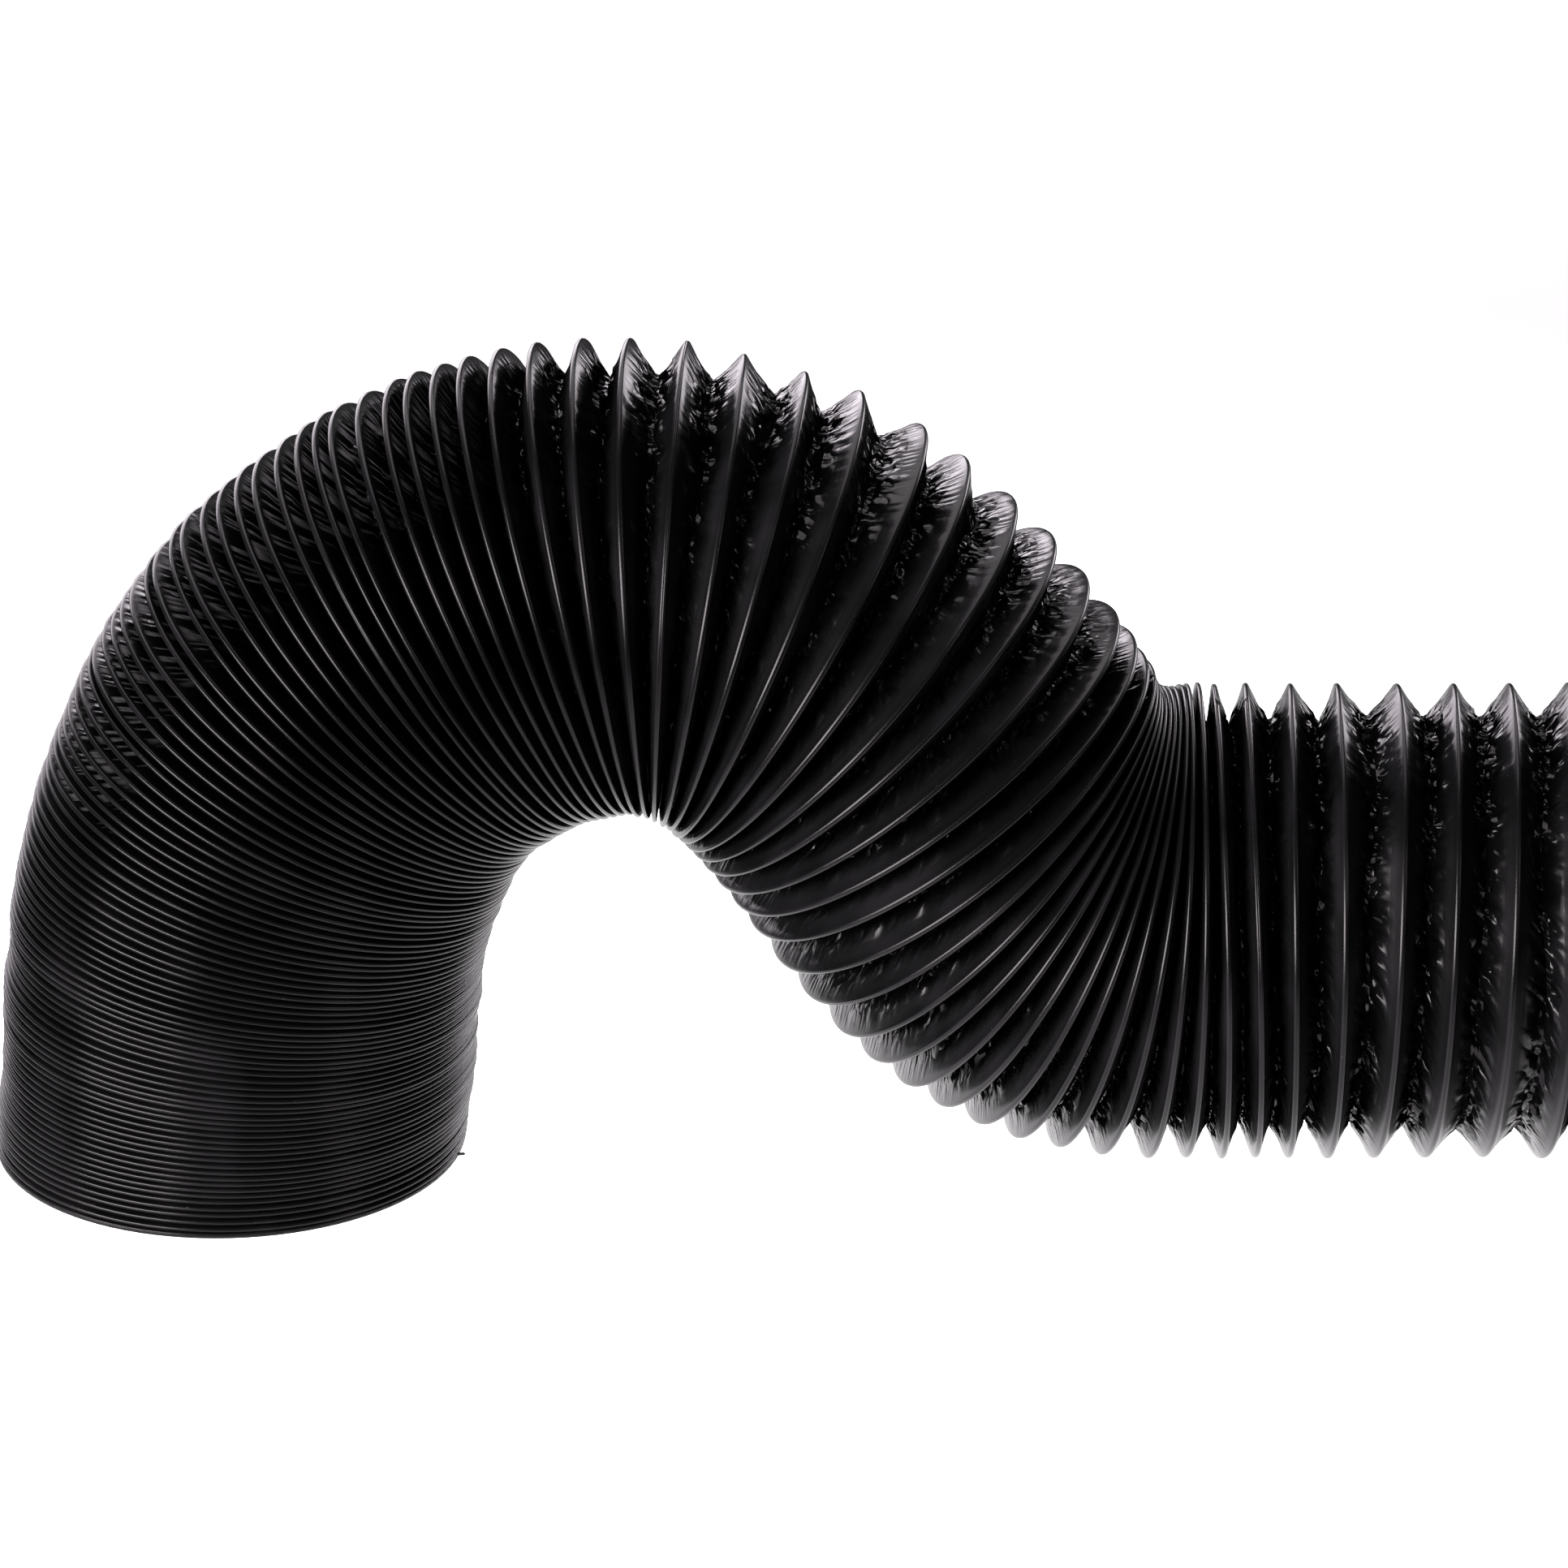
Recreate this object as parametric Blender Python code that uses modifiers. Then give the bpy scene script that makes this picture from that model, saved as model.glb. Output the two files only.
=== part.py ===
"""Flexible duct hose: pleated film on a left-handed spring wire, stood on its packed end,
arched over and laid along the floor.

Frame: metres, +Z up, the floor at Z 0. The duct's middle stays in the XZ plane: it stands at
the left and its lying end runs towards +X. The origin is under the middle of its whole length.
"""

from math import atan, cos, pi, radians, sin, sqrt

import bmesh
import bpy
from mathutils import Vector

# Sizes of the duct
DUCT_DIAMETER = 0.155
WIRE_DIAMETER = 0.0011
FILM_THICKNESS = 0.00015
FILM_PER_TURN = 0.03175
TURNS = 115
FOOT_HEM = 0.008

# How the film drapes between two turns of wire: pleat depth for each unit of pitch,
# until the film of that turn is used up
PLEAT_SLOPE = 0.65

# Air between the wire and the film that covers it
WIRE_CLEARANCE = 0.0003

# Flats in one turn
SEGMENTS = 12

# Turns at each end that its square cut may pass through
END_TURNS = 3

# The route of the duct's middle. Each row has the turn, counted from the foot, the place of
# that turn's middle, and how far the turn leans over from level, in degrees. Places are in
# parts of the duct's diameter, which are millimetres on a duct 155 mm across
ROUTE_PARTS = 155
ROUTE = [
    # turn, x, z, lean
    (0, 0.0, 2.2, 0.0),
    (4, 1.2, 11.8, 0.5),
    (8, 2.3, 20.4, 1.2),
    (14, 3.4, 33.4, 2.4),
    (20, 4.5, 46.6, 4.6),
    (26, 5.8, 60.0, 7.0),
    (32, 7.6, 74.0, 9.6),
    (38, 10.2, 89.0, 12.8),
    (44, 14.8, 105.4, 17.6),
    (50, 21.8, 122.8, 23.4),
    (56, 31.2, 141.2, 31.0),
    (62, 45.8, 160.8, 41.6),
    (68, 68.4, 178.6, 54.8),
    (72, 86.2, 188.2, 62.4),
    (76, 108.0, 195.2, 71.8),
    (78, 122.6, 197.1, 79.7),
    (80, 140.8, 196.4, 90.2),
    (82, 161.8, 191.3, 103.4),
    (84, 182.3, 181.5, 117.1),
    (86, 200.6, 167.4, 129.2),
    (88, 217.0, 149.3, 138.4),
    (90, 231.5, 129.6, 142.4),
    (92, 243.7, 112.0, 137.4),
    (94, 254.8, 98.2, 128.1),
    (96, 266.9, 87.8, 118.9),
    (98, 281.1, 80.8, 109.8),
    (100, 297.1, 77.8, 100.2),
    (102, 313.4, 77.5, 91.0),
    (104, 330.4, 77.5, 86.0),
    (106, 355.6, 77.5, 88.0),
    (108, 389.4, 77.5, 90.0),
    (110, 426.8, 77.5, 90.0),
    (115, 519.8, 77.5, 90.0),
]

# Finish: film and wire are both black
FILM_COLOUR = (0.012, 0.012, 0.013, 1.0)
WIRE_COLOUR = (0.02, 0.02, 0.02, 1.0)

# Worked out from the sizes above
DUCT_RADIUS = DUCT_DIAMETER / 2
WIRE_RADIUS = WIRE_DIAMETER / 2
ROUTE_PART = DUCT_DIAMETER / ROUTE_PARTS
CREST_HALF_ANGLE = atan(0.5 / PLEAT_SLOPE)
WIRE_INSET = (WIRE_RADIUS + WIRE_CLEARANCE + FILM_THICKNESS) / sin(CREST_HALF_ANGLE)


def eased(before, low, high, after, turn):
    """A value between two rows of the route, each given as (turn, value), on a smooth cubic."""
    span = high[0] - low[0]
    slope_low = (high[1] - before[1]) / (high[0] - before[0])
    slope_high = (after[1] - low[1]) / (after[0] - low[0])
    u = (turn - low[0]) / span
    rise = (high[1] - low[1]) * u * u * (3 - 2 * u)
    return low[1] + rise + span * u * (1 - u) * (slope_low * (1 - u) - slope_high * u)


def straight_on(end, inner, turn):
    """X, Z and lean past an end of the route, straight on from its last two rows."""
    share = (turn - end[0]) / (inner[0] - end[0])
    return [end[k] + share * (inner[k] - end[k]) for k in (1, 2, 3)]


def route_at(turn):
    """X and Z of the route at a turn, in the route's parts, and the lean in degrees."""
    if turn <= ROUTE[0][0]:
        return straight_on(ROUTE[0], ROUTE[1], turn)
    if turn >= ROUTE[-1][0]:
        return straight_on(ROUTE[-1], ROUTE[-2], turn)
    i = max(k for k, row in enumerate(ROUTE) if row[0] <= turn)
    rows = [ROUTE[max(i - 1, 0)], ROUTE[i], ROUTE[i + 1], ROUTE[min(i + 2, len(ROUTE) - 1)]]
    return [eased(*((row[0], row[k]) for row in rows), turn) for k in (1, 2, 3)]


def middle(turn):
    """The middle of the duct at a turn."""
    x, z, _ = route_at(turn)
    return Vector((x * ROUTE_PART, 0, z * ROUTE_PART))


def on_helix(turn, radius):
    """A point of the left-handed helix. A whole turn lies on the inner side of the arch."""
    lean = radians(route_at(turn)[2])
    outer_side = Vector((-cos(lean), 0, sin(lean)))
    front = Vector((0, -1, 0))
    angle = 2 * pi * turn
    return middle(turn) + radius * (sin(angle) * front - cos(angle) * outer_side)


def pleat_depth(pitch):
    """How deep the film hangs in between two turns that lie a pitch apart."""
    slack = sqrt(max(FILM_PER_TURN**2 - pitch**2, 0)) / 2
    return min(PLEAT_SLOPE * pitch, slack)


def valley_point(turn):
    """The bottom of the pleat between a turn and the next, at the turn's own angle."""
    low, high = on_helix(turn, DUCT_RADIUS), on_helix(turn + 1, DUCT_RADIUS)
    between = (low + high) / 2
    inwards = (middle(turn + 0.5) - between).normalized()
    return between + inwards * pleat_depth((high - low).length)


def material(name, colour, roughness, metallic):
    made = bpy.data.materials.new(name)
    made.use_nodes = True
    shader = made.node_tree.nodes["Principled BSDF"]
    shader.inputs["Base Color"].default_value = colour
    shader.inputs["Roughness"].default_value = roughness
    shader.inputs["Metallic"].default_value = metallic
    return made


def square_cut(bm, verts, point, outwards):
    """Cut some of the open film off at a plane, and return the edges of the cut."""
    edges = {edge for vert in verts for edge in vert.link_edges}
    faces = {face for vert in verts for face in vert.link_faces}
    cut = bmesh.ops.bisect_plane(
        bm,
        geom=[*verts, *edges, *faces],
        dist=1e-6,
        plane_co=point,
        plane_no=outwards,
        clear_outer=True,
    )
    return [e for e in cut["geom_cut"] if isinstance(e, bmesh.types.BMEdge)]


def turn_hem_in(bm, rim, centre):
    """Fold the film's edge at the foot inwards, flat on the floor."""
    hem = bmesh.ops.extrude_edge_only(bm, edges=rim)
    for vert in (v for v in hem["geom"] if isinstance(v, bmesh.types.BMVert)):
        away = vert.co - centre
        away.z = 0
        vert.co -= away.normalized() * FOOT_HEM


def make_skin(collection):
    """The film tube: a strip from crest to valley to crest, wound up and welded to itself."""
    first = -2 * SEGMENTS
    columns = (TURNS + 3) * SEGMENTS
    bm = bmesh.new()
    bmesh.ops.create_grid(bm, x_segments=columns, y_segments=2, size=1)
    turn_of = bm.verts.layers.float.new("turn")
    across = columns + 1
    for index, vert in enumerate(bm.verts):
        row, column = divmod(index, across)
        turn = (first + column) / SEGMENTS
        vert[turn_of] = turn + row / 2
        if row == 1:
            vert.co = valley_point(turn)
        else:
            vert.co = on_helix(turn + row / 2, DUCT_RADIUS)
    bmesh.ops.remove_doubles(bm, verts=bm.verts[:], dist=1e-6)
    foot = Vector((middle(0).x, 0, 0))
    foot_verts = [v for v in bm.verts if v[turn_of] < END_TURNS]
    rim = square_cut(bm, foot_verts, foot, Vector((0, 0, -1)))
    turn_hem_in(bm, rim, foot)
    far_verts = [v for v in bm.verts if v[turn_of] > TURNS - END_TURNS]
    along = (middle(TURNS) - middle(TURNS - 1)).normalized()
    square_cut(bm, far_verts, middle(TURNS), along)
    bmesh.ops.recalc_face_normals(bm, faces=bm.faces[:])
    mesh = bpy.data.meshes.new("duct_skin")
    bm.to_mesh(mesh)
    bm.free()
    mesh.shade_smooth()
    mesh.set_sharp_from_angle(angle=radians(30))
    mesh.materials.append(material("black film", FILM_COLOUR, 0.35, 0.0))
    skin = bpy.data.objects.new("duct_skin", mesh)
    collection.objects.link(skin)
    wall = skin.modifiers.new("Film thickness", "SOLIDIFY")
    wall.thickness = FILM_THICKNESS
    wall.offset = -1
    wall.use_even_offset = True
    wall.use_rim = True
    return skin


def make_wire(collection):
    """The spring wire, inside the crest of the film from the foot to the far end."""
    points = TURNS * SEGMENTS
    curve = bpy.data.curves.new("wire_helix", "CURVE")
    curve.dimensions = "3D"
    curve.bevel_depth = WIRE_RADIUS
    curve.bevel_resolution = 0
    curve.use_fill_caps = True
    line = curve.splines.new("POLY")
    line.points.add(points - 1)
    for i, point in enumerate(line.points):
        point.co = on_helix(i / SEGMENTS, DUCT_RADIUS - WIRE_INSET).to_4d()
    curve.materials.append(material("spring wire", WIRE_COLOUR, 0.4, 0.6))
    wire = bpy.data.objects.new("wire_helix", curve)
    collection.objects.link(wire)
    return wire


def main():
    for old in list(bpy.data.objects):
        bpy.data.objects.remove(old, do_unlink=True)
    collection = bpy.data.collections.new("flexible duct hose")
    bpy.context.scene.collection.children.link(collection)
    far_left = min(on_helix(k / SEGMENTS, DUCT_RADIUS).x for k in range(TURNS * SEGMENTS))
    far_right = middle(TURNS).x
    for piece in (make_skin(collection), make_wire(collection)):
        piece.location.x = -(far_left + far_right) / 2


main()
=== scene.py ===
"""Flexible duct hose, dressed: a helical tube of pleated black film on a spring wire.

The duct stands on its packed end, arches over, comes down and lies along the floor. The film is
one strip wound round the route and welded to itself at each crest, over the wire.
"""

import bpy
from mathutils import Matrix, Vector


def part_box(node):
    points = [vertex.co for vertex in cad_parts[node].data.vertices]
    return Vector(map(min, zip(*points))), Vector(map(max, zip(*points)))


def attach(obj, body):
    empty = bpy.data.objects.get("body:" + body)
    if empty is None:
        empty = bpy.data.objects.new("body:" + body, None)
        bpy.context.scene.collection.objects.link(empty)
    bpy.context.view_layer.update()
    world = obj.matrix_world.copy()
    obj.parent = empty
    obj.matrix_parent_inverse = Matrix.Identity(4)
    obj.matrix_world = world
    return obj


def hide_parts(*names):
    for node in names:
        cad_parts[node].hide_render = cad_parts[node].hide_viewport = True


bl_info = {
    "name": "Flexible Duct Hose",
    "version": (1, 0, 0),
    "blender": (4, 5, 0),
    "location": "View3D > Sidebar > Duct Hose",
    "description": "Pleated film, spring wire and studio of a black flexible duct",
    "category": "Object",
}

from functools import lru_cache
from math import atan2, cos, pi, radians, sin, sqrt

import bmesh
import bpy
from bpy.props import FloatProperty, FloatVectorProperty, PointerProperty
from mathutils import Vector, noise

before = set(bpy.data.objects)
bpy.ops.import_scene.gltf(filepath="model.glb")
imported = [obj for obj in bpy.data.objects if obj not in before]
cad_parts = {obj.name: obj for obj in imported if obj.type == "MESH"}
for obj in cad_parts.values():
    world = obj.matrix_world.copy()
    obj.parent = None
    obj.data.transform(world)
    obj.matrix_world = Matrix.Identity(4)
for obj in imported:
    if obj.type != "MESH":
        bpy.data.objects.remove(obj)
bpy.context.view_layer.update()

# Sizes of the duct, in metres
DUCT_DIAMETER = 0.155
FILM_PER_TURN = 0.03175
TURNS = 115

# The route of the duct's middle. Each row has the turn, counted from the foot, the place of
# that turn's middle in millimetres, and how far the turn leans over from level, in degrees
ROUTE = [
    # turn, x, z, lean
    (0, 0.0, 2.2, 0.0),
    (4, 1.2, 11.8, 0.5),
    (8, 2.3, 20.4, 1.2),
    (14, 3.4, 33.4, 2.4),
    (20, 4.5, 46.6, 4.6),
    (26, 5.8, 60.0, 7.0),
    (32, 7.6, 74.0, 9.6),
    (38, 10.2, 89.0, 12.8),
    (44, 14.8, 105.4, 17.6),
    (50, 21.8, 122.8, 23.4),
    (56, 31.2, 141.2, 31.0),
    (62, 45.8, 160.8, 41.6),
    (68, 68.4, 178.6, 54.8),
    (72, 86.2, 188.2, 62.4),
    (76, 108.0, 195.2, 71.8),
    (78, 122.6, 197.1, 79.7),
    (80, 140.8, 196.4, 90.2),
    (82, 161.8, 191.3, 103.4),
    (84, 182.3, 181.5, 117.1),
    (86, 200.6, 167.4, 129.2),
    (88, 217.0, 149.3, 138.4),
    (90, 231.5, 129.6, 142.4),
    (92, 243.7, 112.0, 137.4),
    (94, 254.8, 98.2, 128.1),
    (96, 266.9, 87.8, 118.9),
    (98, 281.1, 80.8, 109.8),
    (100, 297.1, 77.8, 100.2),
    (102, 313.4, 77.5, 91.0),
    (104, 330.4, 77.5, 86.0),
    (106, 355.6, 77.5, 88.0),
    (108, 389.4, 77.5, 90.0),
    (110, 426.8, 77.5, 90.0),
    (115, 519.8, 77.5, 90.0),
]
MILLIMETRE = 0.001

# How finely each length of film is drawn: name, first turn, last turn, columns in a turn,
# rows over each wire and rows in the fold
FILM_LENGTHS = [
    ("film_standing_end", -1, 44, 84, 3, 4),
    ("film_arch_rise", 44, 68, 132, 3, 8),
    ("film_arch_top", 68, 80, 168, 2, 14),
    ("film_descent", 80, 91.5, 200, 2, 12),
    ("film_floor_bend", 91.5, 103.5, 168, 2, 11),
    ("film_lying_end", 103.5, 115, 216, 2, 12),
]

# Up to this turn the film is packed all the way round
PACKED_TURNS = 44

# The turns over which the tight gathers of the arch's rise give way to wide ones, and over which the
# highlights painted along those gathers fade out
ARCH_TOP_TURNS = (71, 76)

# Pitch at which the film is packed, and pitch at which it is fully open
PACKED_PITCH = 0.0026
OPEN_PITCH = 0.0090

# The end turn lies flat on the floor. The wire's bare end sticks out of it a little way round
END_TURN_HEIGHT = 0.0009
WIRE_START = -0.965

# Folded film is sharp where it turns by more than this
CREASE_ANGLE = radians(24)

# The camera, from the photograph: what it aims at, how far off it is and how far it looks down
CAMERA_AIM = Vector((-0.0389, 0.0, 0.1257))
CAMERA_DISTANCE = 2.522
CAMERA_PITCH = radians(23)
CAMERA_LENS = 178.9


class DuctSizes(bpy.types.PropertyGroup):
    """Sizes of the film and the wire."""

    wire_diameter: FloatProperty(
        name="Wire diameter",
        description="Diameter of the spring wire",
        default=0.0011,
        min=0.0002,
        unit="LENGTH",
    )
    film_thickness: FloatProperty(
        name="Film thickness",
        description="Thickness of the black film",
        default=0.00015,
        min=0.00002,
        unit="LENGTH",
    )
    bead_radius: FloatProperty(
        name="Bead radius",
        description="Radius of the film where it wraps over the wire",
        default=0.00075,
        min=0.0003,
        unit="LENGTH",
    )
    foot_hem: FloatProperty(
        name="Foot hem",
        description="How far the film's edge is folded in under the standing end",
        default=0.008,
        min=0.0,
        unit="LENGTH",
    )
    fold_fullness: FloatProperty(
        name="Fold fullness",
        description="Depth of each fold as a share of the deepest that its film allows",
        default=0.9,
        min=0.1,
        max=1.0,
        subtype="FACTOR",
    )
    gather_depth: FloatProperty(
        name="Gather depth",
        description="Height of the gathers that run down from each crest",
        default=0.0006,
        min=0.0,
        unit="LENGTH",
    )
    crumple_depth: FloatProperty(
        name="Crumple depth",
        description="Height of the crumples in an open fold",
        default=0.0013,
        min=0.0,
        unit="LENGTH",
    )
    stub_length: FloatProperty(
        name="Wire stub",
        description="Bare wire that sticks out of the film at the foot",
        default=0.0025,
        min=0.0,
        unit="LENGTH",
    )


class DuctColours(bpy.types.PropertyGroup):
    """Colours of the film, the wire and the floor."""

    film: FloatVectorProperty(
        name="Film",
        description="Colour of the clean black film",
        default=(0.0026, 0.0025, 0.0028),
        subtype="COLOR",
        size=3,
        min=0.0,
        max=1.0,
    )
    dust: FloatVectorProperty(
        name="Dust",
        description="Colour of the thin dust and scuffs on the film",
        default=(0.030, 0.027, 0.030),
        subtype="COLOR",
        size=3,
        min=0.0,
        max=1.0,
    )
    # Painted highlight: pale colour put along the creases of the tight gathers, adding to the
    # reflections of the lights there
    painted_crease_highlight: FloatVectorProperty(
        name="Painted crease highlight",
        description="Colour of the film where highlights are painted along tight gathers",
        default=(0.25, 0.24, 0.25),
        subtype="COLOR",
        size=3,
        min=0.0,
        max=1.0,
    )
    wire: FloatVectorProperty(
        name="Wire",
        description="Colour of the coated spring wire",
        default=(0.02, 0.02, 0.02),
        subtype="COLOR",
        size=3,
        min=0.0,
        max=1.0,
    )
    floor: FloatVectorProperty(
        name="Floor",
        description="Colour of the pale floor",
        default=(0.72, 0.72, 0.73),
        subtype="COLOR",
        size=3,
        min=0.0,
        max=1.0,
    )


# The duct's route


def eased(before, low, high, after, turn):
    """A value between two rows of the route, each given as (turn, value), on a smooth cubic."""
    span = high[0] - low[0]
    slope_low = (high[1] - before[1]) / (high[0] - before[0])
    slope_high = (after[1] - low[1]) / (after[0] - low[0])
    u = (turn - low[0]) / span
    rise = (high[1] - low[1]) * u * u * (3 - 2 * u)
    return low[1] + rise + span * u * (1 - u) * (slope_low * (1 - u) - slope_high * u)


def straight_on(end, inner, turn):
    """X, Z and lean past an end of the route, straight on from its last two rows."""
    share = (turn - end[0]) / (inner[0] - end[0])
    return [end[k] + share * (inner[k] - end[k]) for k in (1, 2, 3)]


def route_at(turn):
    """X, Z and lean of the route at a turn, in the route's own units."""
    if turn <= ROUTE[0][0]:
        return straight_on(ROUTE[0], ROUTE[1], turn)
    if turn >= ROUTE[-1][0]:
        return straight_on(ROUTE[-1], ROUTE[-2], turn)
    i = max(k for k, row in enumerate(ROUTE) if row[0] <= turn)
    rows = [ROUTE[max(i - 1, 0)], ROUTE[i], ROUTE[i + 1], ROUTE[min(i + 2, len(ROUTE) - 1)]]
    return [eased(*((row[0], row[k]) for row in rows), turn) for k in (1, 2, 3)]


# The foot's middle stands this far along X in the frame: the CAD skin ends at the last turn
FOOT_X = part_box("duct_skin")[1].x - route_at(TURNS)[0] * MILLIMETRE
DUCT_RADIUS = DUCT_DIAMETER / 2


def between(value, low, high):
    """0 below low, 1 above high, and smooth from one to the other."""
    share = min(max((value - low) / (high - low), 0), 1)
    return share * share * (3 - 2 * share)


@lru_cache(maxsize=None)
def station(turn):
    """Middle, outward direction and axis of the duct at a turn."""
    x, z, lean = route_at(turn)
    lean = radians(lean)
    angle = 2 * pi * turn
    outer_side = Vector((-cos(lean), 0, sin(lean)))
    front = Vector((0, -1, 0))
    outward = sin(angle) * front - cos(angle) * outer_side
    axis = Vector((sin(lean), 0, cos(lean)))
    return Vector((FOOT_X + x * MILLIMETRE, 0, z * MILLIMETRE)), outward, axis


def true_crest(turn):
    """The crest of the film on the exact left-handed helix, whose end turn lies on the floor."""
    centre, outward, _ = station(turn)
    top = centre + DUCT_RADIUS * outward
    if turn < 0:
        rise = ROUTE[0][2] * MILLIMETRE - END_TURN_HEIGHT
        top.z = END_TURN_HEIGHT + rise * (turn + 1) ** 1.85
    return top


@lru_cache(maxsize=None)
def crest(turn):
    """The crest of the film, out of true: turns lean on each other and slip sideways."""
    here = true_crest(turn)
    if turn < 0.5:
        return here
    room = min((true_crest(turn + 1) - here).length, (here - true_crest(turn - 1)).length)
    on_arch = between(turn, 38, 50) * (1 - between(turn, 73, 79))
    paired = noise.noise(Vector((turn * 0.83, 71.5, 0))) * 0.42 * between(room, 0.0026, 0.0055)
    along = (paired * on_arch + noise.noise(Vector((turn * 2.3, 11.5, 0))) * 0.14) * room
    out = noise.noise(Vector((turn * 1.7, 3.5, 7))) * (0.0003 + 0.03 * room)
    aside = [noise.noise(Vector((turn * 0.31, lane, 2.5))) for lane in (5.5, 25.5)]
    slip = Vector((*aside, 0)) * 0.0011
    _, outward, axis = station(turn)
    fade = between(turn, 0.5, 2.5) * between(TURNS - turn, -0.5, 1.5)
    moved = along * axis + min(out, 0.0004) * outward + slip * (1 - between(turn, 50, 66))
    top = here + fade * moved
    top.z = max(top.z, 0.0)
    return top


# The film


def square_to(vector, other):
    """The direction of a vector, less what it shares with another direction."""
    return (vector - vector.dot(other) * other).normalized()


def unrolled(turn, share):
    """A place on the film if the duct were pulled straight: no seam and no stretch anywhere."""
    angle = 2 * pi * turn
    film = (turn + share) * FILM_PER_TURN
    return Vector((DUCT_RADIUS * cos(angle), DUCT_RADIUS * sin(angle), film))


def gathered(place):
    """Height of the gathers that run down from the crest into the fold, from -1 to 1."""
    at = Vector((place.x / 0.0052, place.y / 0.0052, place.z / 0.026))
    broad = Vector((place.x / 0.016, place.y / 0.016, place.z / 0.050))
    return 0.55 - 1.7 * abs(noise.noise(at)) + 0.6 * noise.noise(broad)


def crumpled_up(place):
    """Height of the foil-like creases in an open fold, from -1 to 1. They drape at a slant."""
    slanted = Vector((place.x - place.z, place.y, (place.x + place.z) * 0.35))
    creases = 0.6 - 2.4 * abs(noise.noise(slanted / 0.0105 + Vector((3.1, 0, 9.4))))
    small = 0.3 - 1.2 * abs(noise.noise(place / 0.0055 + Vector((0, 7.7, 1.2))))
    return creases + small


def strip_column(turn, sizes, bead_rows, fold_rows):
    """Points of the film from the crest of a turn, down into the fold and up to the next crest.

    Each comes with how gathered, how crumpled and how satin the film is there, from 0 to 1.
    """
    low, high = crest(turn), crest(turn + 1)
    low_out, high_out = station(turn)[1], station(turn + 1)[1]
    ahead = high - low
    pitch = ahead.length
    openness = between(pitch, PACKED_PITCH, OPEN_PITCH)
    edge_on = between(abs(cos(2 * pi * turn)), 0.6, 0.95)
    puckered = between(pitch, 0.0030, 0.0056) * between(turn, 44, 47) * edge_on * (1 - 0.65 * openness)
    low_middle, high_middle = station(turn)[0], station(turn + 1)[0]
    squeezed = between(1 - pitch / (high_middle - low_middle).length, 0.5, 0.75)
    inwards = (station(turn + 0.5)[0] - (low + high) / 2).normalized()
    slack = sqrt(max(FILM_PER_TURN**2 - pitch**2, 0)) / 2
    wander = noise.noise(Vector((turn * 9.0, 20.5, 0)))
    uneven = noise.noise(Vector((turn * 7.0, 40.5, 0)))
    start = between(turn, -1, -0.65)
    depth = slack * sizes.fold_fullness * (1 + 0.12 * openness * uneven) * start
    depth *= 1 - 0.6 * squeezed
    bottom = (low + high) / 2 + inwards * depth + ahead * 0.16 * openness * wander
    dip = atan2(slack * start, pitch / 2)
    bead = sizes.bead_radius * (1 + 0.5 * openness)

    ends = []
    for top, out, way in ((low, low_out, ahead), (high, high_out, -ahead)):
        side = square_to(way, out)
        centre = top - bead * out
        wrap = [
            centre + bead * (cos(dip * k / bead_rows) * out + sin(dip * k / bead_rows) * side)
            for k in range(bead_rows + 1)
        ]
        ends.append(wrap)

    points = [(p, (0.0, 0.0, 0.0)) for p in ends[0]]
    leave, arrive = ends[0][-1], ends[1][-1]
    half = fold_rows / 2
    soft = 0.16
    for k in range(1, fold_rows):
        to_bottom = abs(k - half) / half
        foot = 1 - to_bottom
        origin = leave if k <= half else arrive
        rounded = (sqrt(to_bottom**2 + soft**2) - soft) / (sqrt(1 + soft**2) - soft)
        straight = origin.lerp(bottom, foot) + inwards * depth * (to_bottom - rounded)
        gather = between(foot, 0.0, 0.3) * puckered
        crumple = between(foot, 0.22, 0.75) * openness
        satin = between(foot, 0.0, 0.12) * openness * (1 - crumple) * (1 - edge_on)
        flank = (bottom - origin).normalized()
        normal = square_to(ahead if k <= half else -ahead, flank)
        mixed = square_to(-inwards, ahead.normalized())
        lift = normal.lerp(mixed, between(foot, 0.6, 1.0)).normalized()
        place = unrolled(turn, k / fold_rows)
        height = gather * gathered(place) * sizes.gather_depth
        height += crumple * crumpled_up(place) * sizes.crumple_depth
        points.append((straight + lift * height, (gather, crumple, satin)))
    points.extend((p, (0.0, 0.0, 0.0)) for p in reversed(ends[1]))
    return points


def crease_sharply(bm, folds):
    """Make the strong creases of the crumpled film sharp, as foil creases are."""
    for edge in bm.edges:
        if len(edge.link_faces) == 2 and min(vert[folds].y for vert in edge.verts) > 0.15:
            edge.smooth = edge.calc_face_angle(0) < CREASE_ANGLE


def new_object(name, bm, material):
    """Turn a bmesh into an object of the scene, with its material."""
    mesh = bpy.data.meshes.new(name)
    bm.to_mesh(mesh)
    bm.free()
    mesh.materials.append(material)
    made = bpy.data.objects.new(name, mesh)
    bpy.context.scene.collection.objects.link(made)
    return made


def cut_off(bm, point, outwards):
    """Cut the open film off at a plane."""
    bmesh.ops.bisect_plane(
        bm,
        geom=bm.verts[:] + bm.edges[:] + bm.faces[:],
        dist=1e-6,
        plane_co=point,
        plane_no=outwards,
        clear_outer=True,
    )


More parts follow.
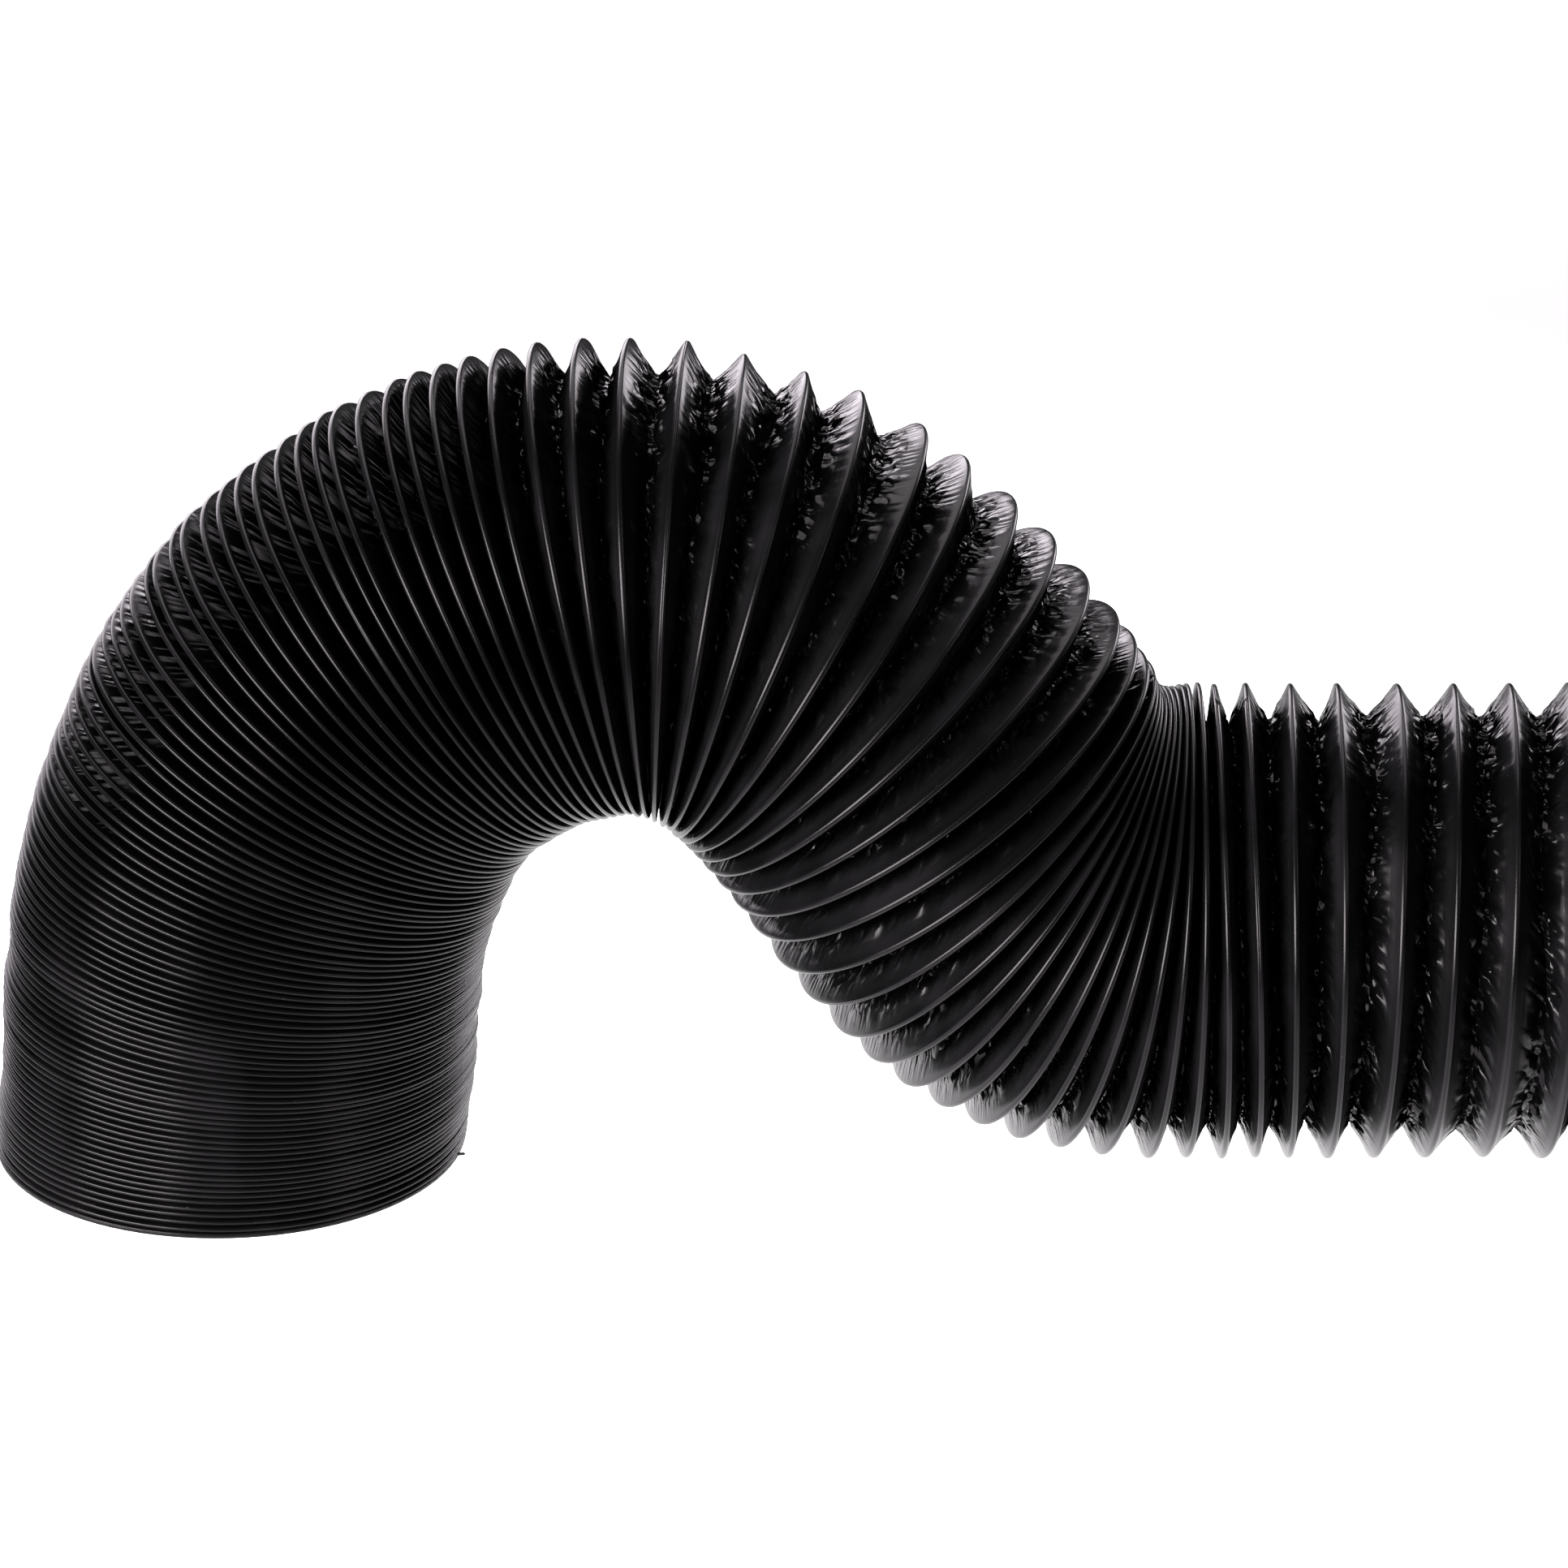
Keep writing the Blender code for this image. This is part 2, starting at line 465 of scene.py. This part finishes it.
def make_film(sizes, material, name, first, last, columns_per_turn, bead_rows, fold_rows):
    """One length of the film tube, as a grid wound along the route and welded at the crests."""
    rows = 2 * bead_rows + fold_rows
    overshoot = 1 if last == TURNS else 0
    columns = round((last + overshoot - first) * columns_per_turn)
    bm = bmesh.new()
    bmesh.ops.create_grid(bm, x_segments=columns, y_segments=rows, size=1)
    place = bm.verts.layers.float_vector.new("film_place")
    folds = bm.verts.layers.float_vector.new("film_folds")
    bm.verts.ensure_lookup_table()
    across = columns + 1
    for column in range(across):
        turn = first + column / columns_per_turn
        strip = strip_column(turn, sizes, bead_rows, fold_rows)
        for row, (point, look) in enumerate(strip):
            vert = bm.verts[row * across + column]
            vert.co = point
            vert[place] = unrolled(turn, row / rows)
            vert[folds] = look
    bmesh.ops.remove_doubles(bm, verts=bm.verts[:], dist=1e-6)
    if last == TURNS:
        cut_off(bm, station(TURNS)[0], Vector((1, 0, 0)))
    bmesh.ops.recalc_face_normals(bm, faces=bm.faces[:])
    outward_faces(bm)
    for face in bm.faces:
        face.smooth = True
    crease_sharply(bm, folds)
    film = new_object(name, bm, material)
    thicken(film, sizes)
    return film


def outward_faces(bm):
    """Turn the whole sheet over if its crests face the inside of the duct."""
    top = max(bm.faces, key=lambda face: face.calc_center_median().z)
    if top.normal.z < 0:
        bmesh.ops.reverse_faces(bm, faces=bm.faces[:])


def thicken(film, sizes):
    """Give the film its thickness, inwards."""
    wall = film.modifiers.new("Film thickness", "SOLIDIFY")
    wall.thickness = sizes.film_thickness
    wall.offset = -1
    wall.use_rim = True


def make_skirt(sizes, material):
    """The film below the first turn: down to the floor, then folded in as a flat hem."""
    columns = 96
    bm = bmesh.new()
    bmesh.ops.create_grid(bm, x_segments=columns, y_segments=5, size=1)
    place = bm.verts.layers.float_vector.new("film_place")
    bm.verts.ensure_lookup_table()
    across = columns + 1
    for column in range(across):
        turn = column / columns - 1
        top, out = crest(turn), station(turn)[1]
        flat_out = square_to(out, Vector((0, 0, 1)))
        bead = sizes.bead_radius
        centre = top - bead * out
        shoulder = centre + bead * (0.7 * out - Vector((0, 0, 0.7)))
        floor_line = Vector((centre.x, centre.y, 0)) + flat_out * bead * 0.6
        path = [
            top,
            shoulder,
            shoulder.lerp(floor_line, 0.5) - flat_out * bead * 0.15,
            floor_line,
            floor_line - flat_out * sizes.foot_hem * 0.5,
            floor_line - flat_out * sizes.foot_hem,
        ]
        for row, point in enumerate(path):
            vert = bm.verts[row * across + column]
            vert.co = point
            vert[place] = unrolled(turn, -row / 15)
    bmesh.ops.remove_doubles(bm, verts=bm.verts[:], dist=1e-6)
    bmesh.ops.recalc_face_normals(bm, faces=bm.faces[:])
    side = max(bm.faces, key=lambda face: face.calc_center_median().x)
    if side.normal.x < 0:
        bmesh.ops.reverse_faces(bm, faces=bm.faces[:])
    for face in bm.faces:
        face.smooth = True
    film = new_object("film_foot_hem", bm, material)
    thicken(film, sizes)
    return film


# The wire

WIRE_STEPS = 48
WIRE_SIDES = 4


def make_wire(sizes, material):
    """The spring wire: a ring of points swept along the crests, from its bare stub at the foot."""
    inset = sizes.bead_radius
    radius = sizes.wire_diameter / 2
    turns = [WIRE_START] + [k / WIRE_STEPS for k in range(1 - WIRE_STEPS, TURNS * WIRE_STEPS + 1)]
    turns = [turn for turn in turns if turn >= WIRE_START]
    path = [(crest(turn) - inset * station(turn)[1], station(turn)[1]) for turn in turns]
    start, out = path[0]
    back = (path[0][0] - path[1][0]).normalized()
    path.insert(0, (start + (back * 0.35 + out * 0.9).normalized() * sizes.stub_length, out))
    bm = bmesh.new()
    bmesh.ops.create_grid(bm, x_segments=len(path) - 1, y_segments=WIRE_SIDES, size=1)
    bm.verts.ensure_lookup_table()
    for column, (point, out) in enumerate(path):
        before = path[max(column - 1, 0)][0]
        after = path[min(column + 1, len(path) - 1)][0]
        side = out.cross(after - before).normalized()
        for row in range(WIRE_SIDES + 1):
            angle = 2 * pi * row / WIRE_SIDES
            vert = bm.verts[row * len(path) + column]
            vert.co = point + radius * (cos(angle) * out + sin(angle) * side)
    bmesh.ops.remove_doubles(bm, verts=bm.verts[:], dist=1e-6)
    bmesh.ops.holes_fill(bm, edges=bm.edges[:], sides=WIRE_SIDES)
    bmesh.ops.recalc_face_normals(bm, faces=bm.faces[:])
    for face in bm.faces:
        face.smooth = True
    return new_object("spring_wire", bm, material)


# Finishes


class Shade:
    """A value on its way through a material. Arithmetic on it adds Math nodes."""

    def __init__(self, finish, socket):
        self.finish = finish
        self.socket = socket

    def math(self, operation, *values):
        return self.finish.node("ShaderNodeMath", {"operation": operation}, dict(enumerate(values)))

    def __add__(self, other):
        return self.math("ADD", self, other)

    def __radd__(self, other):
        return self.math("ADD", other, self)

    def __sub__(self, other):
        return self.math("SUBTRACT", self, other)

    def __rsub__(self, other):
        return self.math("SUBTRACT", other, self)

    def __mul__(self, other):
        return self.math("MULTIPLY", self, other)

    def __rmul__(self, other):
        return self.math("MULTIPLY", other, self)


class Finish:
    """A material, with the constant values of its Principled BSDF."""

    def __init__(self, name, constants):
        self.material = bpy.data.materials.new(name)
        self.material.use_nodes = True
        self.tree = self.material.node_tree
        self.shader = self.tree.nodes["Principled BSDF"]
        for socket, value in constants.items():
            self.shader.inputs[socket].default_value = value

    def node(self, kind, settings=None, inputs=None, output=0):
        """A node with its settings, then its sockets' values or links. Gives one output."""
        made = self.tree.nodes.new(kind)
        for name, value in (settings or {}).items():
            setattr(made, name, value)
        for key, value in (inputs or {}).items():
            self.feed(made.inputs[key], value)
        return Shade(self, made.outputs[output])

    def feed(self, socket, value):
        if isinstance(value, Shade):
            self.tree.links.new(value.socket, socket)
        else:
            socket.default_value = value

    def set(self, name, value):
        self.feed(self.shader.inputs[name], value)

    def vector(self, operation, first, second=None, **inputs):
        """Vector maths on one or two vectors."""
        values = {0: first, **inputs}
        if second is not None:
            values[1] = second
        return self.node("ShaderNodeVectorMath", {"operation": operation}, values)

    def facets(self, place, scale):
        """A direction for each facet of crumpled film, the same all over that facet."""
        stretched = self.vector("MULTIPLY", place, scale)
        colour = self.node("ShaderNodeTexVoronoi", inputs={"Vector": stretched, "Scale": 1.0},
            output="Color")
        return self.vector("SUBTRACT", colour, (0.5, 0.5, 0.5))

    def creases(self, place):
        """Height of a field of creases: smooth between them and sharp along each."""
        waves = self.node("ShaderNodeTexNoise", inputs={"Vector": place, "Scale": 1.0,
            "Detail": 1.0}, output="Fac") - 0.5
        return waves.math("ABSOLUTE", waves)


def rgba(colour):
    return (*colour, 1.0)


def crumpled_normal(finish, place, gather, crumple, pulls):
    """The film's normal: pulled into gathers below the crests and creased like foil lower down."""
    facets = finish.facets(place, (125.0, 125.0, 75.0))
    true_normal = finish.node("ShaderNodeNewGeometry", output="Normal")
    tilt = finish.vector("SCALE", facets, Scale=crumple * 0.5)
    faceted = finish.vector("NORMALIZE", finish.vector("ADD", true_normal, tilt))

    slant = finish.node("ShaderNodeMapping", {"vector_type": "TEXTURE"}, {"Vector": place,
        "Rotation": (0.0, radians(45), 0.0), "Scale": (0.0065, 0.0065, 0.022)}, output="Vector")
    relief = pulls * gather * 0.0080 + finish.creases(slant) * crumple * 0.0092
    return finish.node("ShaderNodeBump", inputs={"Strength": 1.0, "Distance": 1.0,
        "Height": relief, "Normal": faceted}, output="Normal")


def film_finish(colours, folded):
    """Glossy black film: smooth over the wire and, where it is folded, crumpled in the folds."""
    finish = Finish(
        "black duct film" if folded else "black packed film",
        {"Specular IOR Level": 0.2, "Specular Tint": (1.0, 0.94, 0.98, 1.0)},
    )
    here = finish.node("ShaderNodeTexCoord", output="Object")
    smears = finish.node("ShaderNodeTexNoise", inputs={"Vector": here, "Scale": 35.0, "Detail": 2.0},
        output="Fac")
    roughness = 0.21 + smears * 0.12
    if folded:
        place = finish.node("ShaderNodeAttribute", {"attribute_name": "film_place"},
            output="Vector")
        folds = finish.node("ShaderNodeAttribute", {"attribute_name": "film_folds"},
            output="Vector")
        gather, crumple, satin = (
            finish.node("ShaderNodeSeparateXYZ", inputs={"Vector": folds}, output=axis)
            for axis in "XYZ"
        )
        pulls = finish.creases(finish.vector("MULTIPLY", place, (170.0, 170.0, 22.0)))
        finish.set("Normal", crumpled_normal(finish, place, gather, crumple, pulls))
        roughness = roughness + satin * 0.17 - gather * 0.08 - crumple * 0.09
    finish.set("Roughness", roughness)
    specks = finish.node("ShaderNodeTexNoise", inputs={"Vector": here, "Scale": 900.0, "Detail": 1.0},
        output="Fac")
    speck = finish.node("ShaderNodeMapRange", inputs={"Value": specks, "From Min": 0.78,
        "From Max": 0.82}, output="Result")
    dusty = finish.node("ShaderNodeMapRange", inputs={"Value": smears, "From Min": 0.45,
        "From Max": 0.9, "To Max": 0.25}, output="Result")
    amount = finish.node("ShaderNodeMath", {"operation": "MAXIMUM"}, {0: speck, 1: dusty})
    tone = finish.node("ShaderNodeMix", {"data_type": "RGBA"},
        {"Factor": amount, "A": rgba(colours.film), "B": rgba(colours.dust)}, output="Result")
    if folded:
        # Painted highlight: pale streaks mixed into the film's colour along the creases of the tight
        # gathers on the arch's rise. They fade out towards the arch's top and add to the reflections
        # of the lights there.
        along_creases = finish.node("ShaderNodeMapRange", inputs={"Value": pulls,
            "From Max": 0.06, "To Min": 1.0, "To Max": 0.0}, output="Result")
        tight = finish.node("ShaderNodeMapRange", inputs={"Value": gather, "From Min": 0.06,
            "From Max": 0.28}, output="Result")
        along_film = finish.node("ShaderNodeSeparateXYZ", inputs={"Vector": place}, output="Z")
        before_top = finish.node("ShaderNodeMapRange", inputs={"Value": along_film,
            "From Min": ARCH_TOP_TURNS[0] * FILM_PER_TURN,
            "From Max": ARCH_TOP_TURNS[1] * FILM_PER_TURN, "To Min": 1.0, "To Max": 0.0},
            output="Result")
        tone = finish.node("ShaderNodeMix", {"data_type": "RGBA"},
            {"Factor": along_creases * tight * before_top, "A": tone,
            "B": rgba(colours.painted_crease_highlight)}, output="Result")
    finish.set("Base Color", tone)
    return finish.material


def wire_finish(colours):
    """Coated steel wire, a little worn."""
    finish = Finish("coated spring wire", {"Metallic": 0.6})
    here = finish.node("ShaderNodeTexCoord", output="Object")
    worn = finish.node("ShaderNodeTexNoise", inputs={"Vector": here, "Scale": 300.0, "Detail": 3.0},
        output="Fac")
    finish.set("Roughness", 0.3 + worn * 0.3)
    tone = finish.node("ShaderNodeMix", {"data_type": "RGBA"},
        {"Factor": worn * 0.5, "A": rgba(colours.wire), "B": (0.09, 0.09, 0.09, 1.0)},
        output="Result")
    finish.set("Base Color", tone)
    return finish.material


def floor_finish(colours):
    """Plain pale floor, faintly lit from below under the duct, as a light table is."""
    finish = Finish("pale floor", {"Roughness": 0.7, "Specular IOR Level": 0.2})
    finish.set("Base Color", rgba(colours.floor))
    here = finish.node("ShaderNodeTexCoord", output="Object")
    away = finish.node("ShaderNodeVectorMath", {"operation": "DISTANCE"},
        {0: here, 1: LIGHT_TABLE_MIDDLE}, output="Value")
    lit = finish.node("ShaderNodeMapRange", {"interpolation_type": "SMOOTHSTEP"},
        {"Value": away, "From Min": 0.15, "From Max": 0.75, "To Min": 1.0, "To Max": 0.0},
        output="Result")
    glow = finish.node("ShaderNodeMix", {"data_type": "RGBA"},
        {"Factor": lit, "A": (0.0, 0.0, 0.0, 1.0), "B": (1.0, 0.98, 1.0, 1.0)}, output="Result")
    finish.set("Emission Color", glow)
    finish.shader.inputs["Emission Strength"].default_value = 2.0
    finish.material.cycles.emission_sampling = "NONE"
    return finish.material


# Where the floor is lit from below
LIGHT_TABLE_MIDDLE = (0.08, 0.10, 0.0)


# Operators


class DUCT_OT_film(bpy.types.Operator):
    """Wind the pleated film along the duct's route"""

    bl_idname = "duct.film"
    bl_label = "Wind the film"

    def execute(self, context):
        sizes = context.scene.duct_sizes
        packed = film_finish(context.scene.duct_colours, folded=False)
        folded = film_finish(context.scene.duct_colours, folded=True)
        for name, first, last, columns, bead_rows, fold_rows in FILM_LENGTHS:
            material = packed if last <= PACKED_TURNS else folded
            film = make_film(sizes, material, name, first, last, columns, bead_rows, fold_rows)
            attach(film, "root")
            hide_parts("duct_skin")
        hem = make_skirt(sizes, packed)
        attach(hem, "root")
        return {"FINISHED"}


class DUCT_OT_wire(bpy.types.Operator):
    """Run the spring wire under every crest"""

    bl_idname = "duct.wire"
    bl_label = "Run the wire"

    def execute(self, context):
        wire = make_wire(context.scene.duct_sizes, wire_finish(context.scene.duct_colours))
        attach(wire, "root")
        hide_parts("wire_helix")
        return {"FINISHED"}


def softbox(name, azimuth, elevation, distance, size, power, colour):
    """A soft rectangular light aimed at the duct. Azimuth 0 is the camera's side."""
    data = bpy.data.lights.new(name, "AREA")
    data.shape = "RECTANGLE"
    data.size, data.size_y = size
    data.energy = power
    data.color = colour
    lamp = bpy.data.objects.new(name, data)
    around, up = radians(azimuth), radians(elevation)
    away = Vector((sin(around) * cos(up), -cos(around) * cos(up), sin(up)))
    lamp.location = CAMERA_AIM + away * distance
    lamp.rotation_mode = "QUATERNION"
    lamp.rotation_quaternion = away.to_track_quat("Z", "Y")
    lamp.visible_camera = False
    bpy.context.scene.collection.objects.link(lamp)


class DUCT_OT_stage(bpy.types.Operator):
    """Set the pale floor, the lights and the camera"""

    bl_idname = "duct.stage"
    bl_label = "Set the stage"

    def execute(self, context):
        bm = bmesh.new()
        bmesh.ops.create_circle(bm, cap_ends=True, segments=96, radius=12.0)
        floor = new_object("floor", bm, floor_finish(context.scene.duct_colours))

        softbox("left front", -50, 12, 2.3, (1.9, 1.0), 155, (1.0, 0.99, 0.98))
        softbox("back left", 202, 13, 2.4, (1.8, 1.3), 34, (1.0, 0.93, 1.0))
        softbox("back right", 143, 15, 2.4, (1.0, 0.9), 20, (1.0, 0.95, 1.0))
        softbox("overhead", 185, 62, 2.2, (2.0, 2.0), 30, (1.0, 0.97, 0.99))
        softbox("right front", 60, 30, 2.6, (0.3, 0.9), 5, (1.0, 1.0, 1.0))

        world = bpy.data.worlds.new("studio")
        world.use_nodes = True
        backdrop = world.node_tree.nodes["Background"]
        backdrop.inputs["Color"].default_value = (0.93, 0.92, 0.94, 1.0)
        backdrop.inputs["Strength"].default_value = 0.12
        context.scene.world = world

        context.scene.cycles.max_bounces = 0
        context.scene.cycles.use_light_tree = False
        context.scene.cycles.caustics_reflective = False

        data = bpy.data.cameras.new("camera")
        data.lens = CAMERA_LENS
        data.sensor_width = 36
        data.clip_end = 100
        camera = bpy.data.objects.new("camera", data)
        away = Vector((0, -cos(CAMERA_PITCH), sin(CAMERA_PITCH)))
        camera.location = CAMERA_AIM + away * CAMERA_DISTANCE
        camera.rotation_euler = (pi / 2 - CAMERA_PITCH, 0, 0)
        context.scene.collection.objects.link(camera)
        context.scene.camera = camera
        context.scene.view_settings.view_transform = "Standard"
        return {"FINISHED"}


class DUCT_PT_panel(bpy.types.Panel):
    """Everything that makes the duct"""

    bl_idname = "DUCT_PT_panel"
    bl_label = "Flexible Duct Hose"
    bl_space_type = "VIEW_3D"
    bl_region_type = "UI"
    bl_category = "Duct Hose"

    def draw(self, context):
        for group in (context.scene.duct_sizes, context.scene.duct_colours):
            for name in group.__annotations__:
                self.layout.prop(group, name)
        for operator in OPERATORS:
            self.layout.operator(operator.bl_idname)


OPERATORS = (DUCT_OT_film, DUCT_OT_wire, DUCT_OT_stage)
CLASSES = (DuctSizes, DuctColours, *OPERATORS, DUCT_PT_panel)


def register():
    for cls in CLASSES:
        bpy.utils.register_class(cls)
    bpy.types.Scene.duct_sizes = PointerProperty(type=DuctSizes)
    bpy.types.Scene.duct_colours = PointerProperty(type=DuctColours)


def unregister():
    del bpy.types.Scene.duct_colours
    del bpy.types.Scene.duct_sizes
    for cls in reversed(CLASSES):
        bpy.utils.unregister_class(cls)


def main():
    register()
    bpy.ops.duct.film()
    bpy.ops.duct.wire()
    bpy.ops.duct.stage()


if __name__ == "__main__":
    main()
